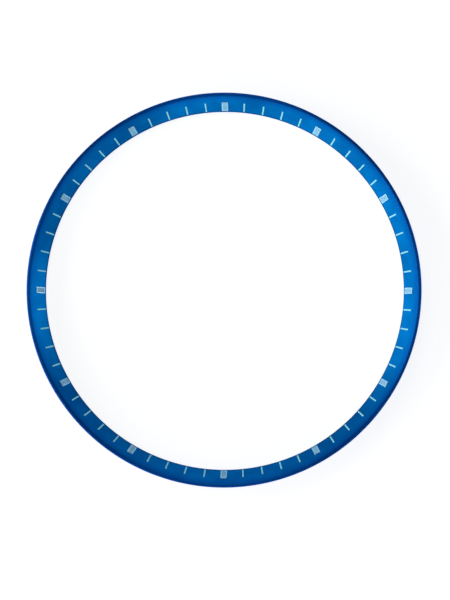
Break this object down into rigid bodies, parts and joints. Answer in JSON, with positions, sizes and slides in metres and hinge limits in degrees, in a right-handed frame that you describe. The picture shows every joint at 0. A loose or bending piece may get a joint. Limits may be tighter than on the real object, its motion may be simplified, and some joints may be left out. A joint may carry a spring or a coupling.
{
  "type": "watch chapter ring",
  "caption": "Watch chapter ring: a flanged ring with a sloping inner face, luminous hour marks set in bevelled trays and filled minute strokes between them.",
  "frame": {"origin": "centre of the flat underside that lies on the dial", "axes": "+Z along the ring's axis towards the crystal, +Y towards twelve o'clock, +X towards three o'clock"},
  "size_m": [0.0305, 0.0304, 0.002],
  "materials": {
    "ring_blue": "satin metallic blue over fine turning",
    "tray_metal": "polished",
    "lume": "fine-grained matte luminous paint",
    "stroke_white": "white enamel fill"
  },
  "bodies": {
    "root": {"ring_body": "ring_blue", "hour_tray_01": "tray_metal", "hour_tray_02": "tray_metal", "hour_tray_03": "tray_metal", "hour_tray_04": "tray_metal", "hour_tray_05": "tray_metal", "hour_tray_06": "tray_metal", "hour_tray_07": "tray_metal", "hour_tray_08": "tray_metal", "hour_tray_09": "tray_metal", "hour_tray_10": "tray_metal", "hour_tray_11": "tray_metal", "hour_tray_12": "tray_metal", "hour_fill_01": "lume", "hour_fill_02": "lume", "hour_fill_03": "lume", "hour_fill_04": "lume", "hour_fill_05": "lume", "hour_fill_06": "lume", "hour_fill_07": "lume", "hour_fill_08": "lume", "hour_fill_09": "lume", "hour_fill_10": "lume", "hour_fill_11": "lume", "hour_fill_12": "lume", "minute_strokes_01_to_04": "stroke_white", "minute_strokes_06_to_09": "stroke_white", "minute_strokes_11_to_14": "stroke_white", "minute_strokes_16_to_19": "stroke_white", "minute_strokes_21_to_24": "stroke_white", "minute_strokes_26_to_29": "stroke_white", "minute_strokes_31_to_34": "stroke_white", "minute_strokes_36_to_39": "stroke_white", "minute_strokes_41_to_44": "stroke_white", "minute_strokes_46_to_49": "stroke_white", "minute_strokes_51_to_54": "stroke_white", "minute_strokes_56_to_59": "stroke_white"}
  },
  "joints": []
}
